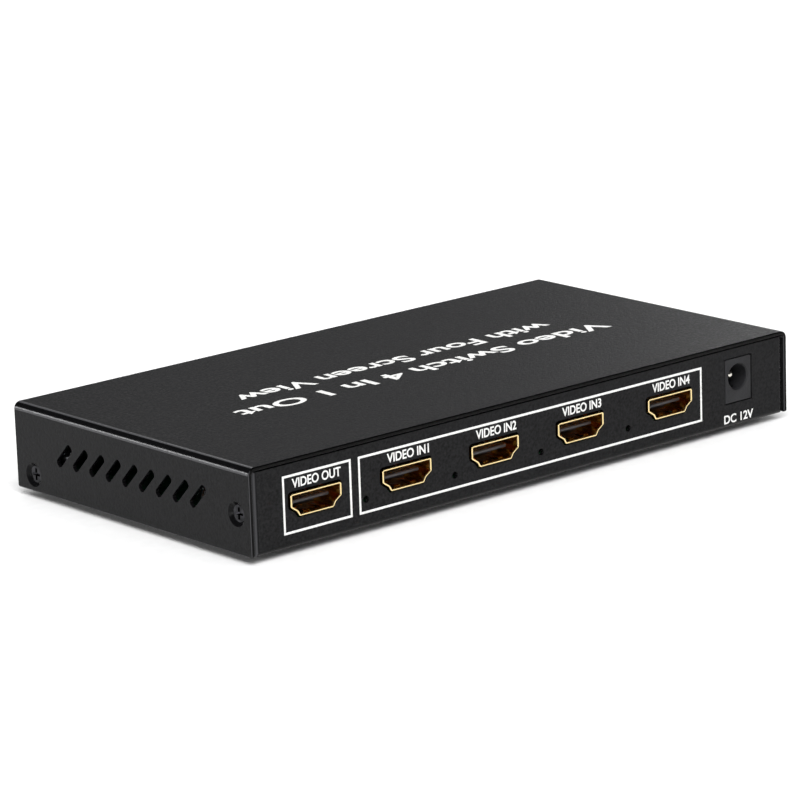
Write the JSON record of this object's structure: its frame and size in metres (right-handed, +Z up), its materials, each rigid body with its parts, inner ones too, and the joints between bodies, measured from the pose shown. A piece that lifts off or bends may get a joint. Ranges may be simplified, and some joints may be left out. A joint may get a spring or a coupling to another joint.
{
  "type": "video switch box",
  "caption": "Low folded-steel video switch box with video input sockets, an output socket and a barrel power jack on one face, vented sides and sprung push buttons.",
  "frame": {"origin": "under the middle of the whole part, on the surface that its feet stand on", "axes": "+X along the panels, to the right for someone who faces the port panel; the port panel faces -Y and the control panel faces +Y; +Z up"},
  "size_m": [0.174, 0.0908, 0.0229],
  "materials": {
    "powder_coated_steel": "fine-texture satin black powder coat on 1 mm sheet steel",
    "black_screw_steel": "black oxide on steel, satin",
    "board_laminate": "green solder mask over glass-fibre laminate",
    "plated_standoff_steel": "nickel-plated steel, satin",
    "zinc_plated_steel": "zinc-plated steel, satin",
    "jack_nylon": "moulded black nylon, matt",
    "nickel_plated_brass": "nickel-plated brass, bright",
    "chip_epoxy": "moulded black epoxy, matt",
    "thermal_silicone": "soft grey-blue silicone",
    "anodised_aluminium": "clear anodised extrusion, satin",
    "crystal_can_steel": "drawn nickel silver can, satin",
    "ferrite": "grey ferrite, matt",
    "dark_window": "dark infrared-pass acrylic, gloss",
    "infrared_epoxy": "dark moulded epoxy, gloss",
    "green_led_epoxy": "tinted diffused epoxy lens, gloss",
    "foot_rubber": "black rubber, matt",
    "gold_plated_steel": "gold flash on drawn steel, bright",
    "socket_polymer": "black glass-filled polymer, matt",
    "gold_plated_contacts": "gold plated phosphor bronze, bright",
    "led_package": "white moulded body with a clear lens",
    "capacitor_aluminium": "bare aluminium can, satin",
    "button_abs": "moulded black ABS, satin",
    "plunger_acetal": "white acetal, satin",
    "switch_nylon": "moulded black nylon, matt",
    "printed_ink": "screen-printed white ink on the coat",
    "tinned_copper": "tinned copper leads and terminals",
    "solder": "soldered joints, bright",
    "ceramic": "fired ceramic of small capacitors"
  },
  "bodies": {
    "housing": {"base_chassis": "powder_coated_steel", "board_screws": "zinc_plated_steel", "board_standoffs": "plated_standoff_steel", "controller_chip": "chip_epoxy", "cover_screws": "black_screw_steel", "crystal": "crystal_can_steel", "filter_capacitor_1": "capacitor_aluminium", "filter_capacitor_2": "capacitor_aluminium", "filter_capacitor_3": "capacitor_aluminium", "flash_chip": "chip_epoxy", "foot_control_left": "foot_rubber", "foot_control_right": "foot_rubber", "foot_port_left": "foot_rubber", "foot_port_right": "foot_rubber", "heat_sink": "anodised_aluminium", "infrared_receiver": "infrared_epoxy", "infrared_window": "dark_window", "main_board": "board_laminate", "memory_chip_1": "chip_epoxy", "memory_chip_2": "chip_epoxy", "mode_switch_body": "switch_nylon", "port_led_1": "led_package", "port_led_2": "led_package", "port_led_3": "led_package", "port_led_4": "led_package", "power_inductor": "ferrite", "power_jack_body": "jack_nylon", "power_jack_pin": "nickel_plated_brass", "power_jack_spring": "nickel_plated_brass", "power_led": "green_led_epoxy", "processor_chip": "chip_epoxy", "regulator": "chip_epoxy", "select_switch_body": "switch_nylon", "thermal_pad": "thermal_silicone", "top_cover": "powder_coated_steel", "video_in_1_contacts": "gold_plated_contacts", "video_in_1_insulator": "socket_polymer", "video_in_1_shell": "gold_plated_steel", "video_in_2_contacts": "gold_plated_contacts", "video_in_2_insulator": "socket_polymer", "video_in_2_shell": "gold_plated_steel", "video_in_3_contacts": "gold_plated_contacts", "video_in_3_insulator": "socket_polymer", "video_in_3_shell": "gold_plated_steel", "video_in_4_contacts": "gold_plated_contacts", "video_in_4_insulator": "socket_polymer", "video_in_4_shell": "gold_plated_steel", "video_out_contacts": "gold_plated_contacts", "video_out_insulator": "socket_polymer", "video_out_shell": "gold_plated_steel", "video_receiver_1": "chip_epoxy", "video_receiver_2": "chip_epoxy", "video_receiver_3": "chip_epoxy", "video_receiver_4": "chip_epoxy", "video_transmitter": "chip_epoxy"},
    "select_button_body": {"select_button": "button_abs", "select_plunger": "plunger_acetal"},
    "mode_button_body": {"mode_button": "button_abs", "mode_plunger": "plunger_acetal"}
  },
  "joints": [
    {"name": "select_press", "type": "slide", "parent": "housing", "child": "select_button_body", "axis": [0, -1, 0], "range_m": [0, 0.0005], "stiffness_N_per_m": 800},
    {"name": "mode_press", "type": "slide", "parent": "housing", "child": "mode_button_body", "axis": [0, -1, 0], "range_m": [0, 0.0005], "stiffness_N_per_m": 800}
  ]
}
